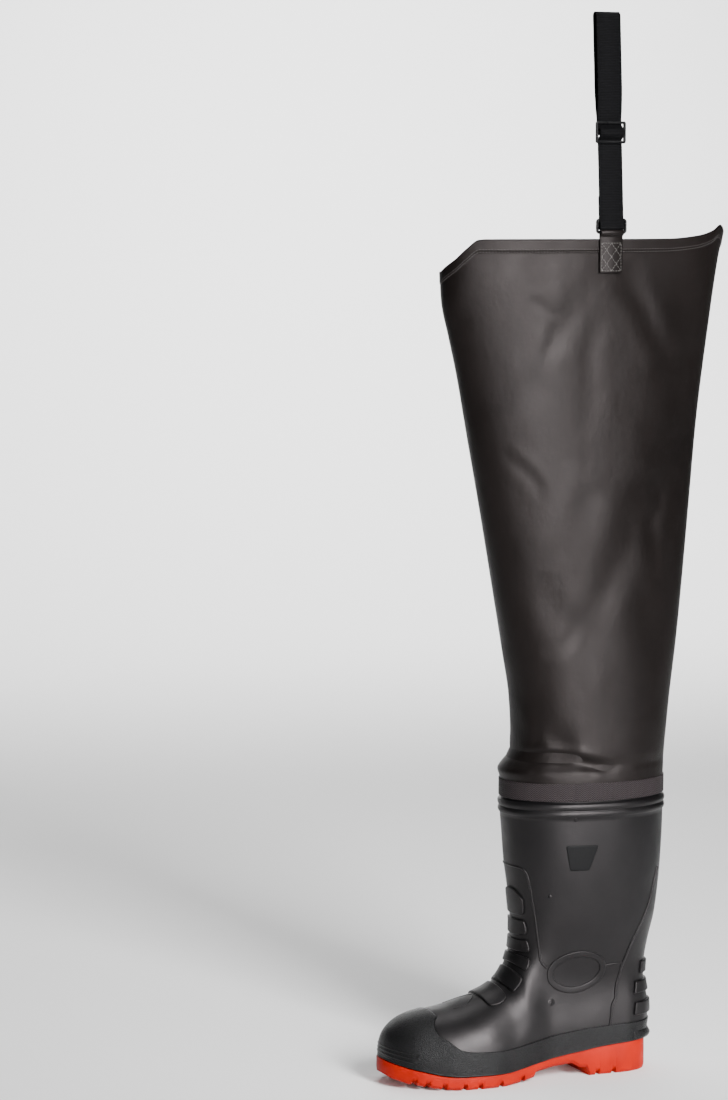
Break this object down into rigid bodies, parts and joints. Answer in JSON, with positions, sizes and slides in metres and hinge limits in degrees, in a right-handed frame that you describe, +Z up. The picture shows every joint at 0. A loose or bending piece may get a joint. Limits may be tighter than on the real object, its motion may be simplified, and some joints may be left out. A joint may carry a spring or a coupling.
{
  "type": "hip wader",
  "caption": "Left hip wader: a moulded safety boot with a lugged sole, a welded fabric leg to the hip and an adjustable strap that hangs it from a belt.",
  "frame": {"origin": "on the ground, under the middle of the rear heel lug", "axes": "+Z up, -X towards the toe, -Y towards the outer side, where the strap is, +Y towards the other leg"},
  "size_m": [0.3876, 0.1278, 1.113],
  "materials": {
    "outsole": "matte moulded PVC, red-orange",
    "insole": "matte",
    "boot_upper": "satin moulded PVC, black",
    "leg_sleeve": "satin PVC-coated fabric",
    "seam_tape": "matte woven tape",
    "hanger_tab": "satin coated fabric",
    "strap_ring": "gloss black",
    "strap_slider": "gloss black",
    "webbing_strap": "matte ribbed webbing"
  },
  "bodies": {
    "root": {"outsole": "outsole", "insole": "insole", "boot_upper": "boot_upper", "leg_sleeve": "leg_sleeve", "seam_tape": "seam_tape", "hanger_tab": "hanger_tab", "strap_ring": "strap_ring", "strap_slider": "strap_slider", "webbing_strap": "webbing_strap"}
  },
  "joints": []
}
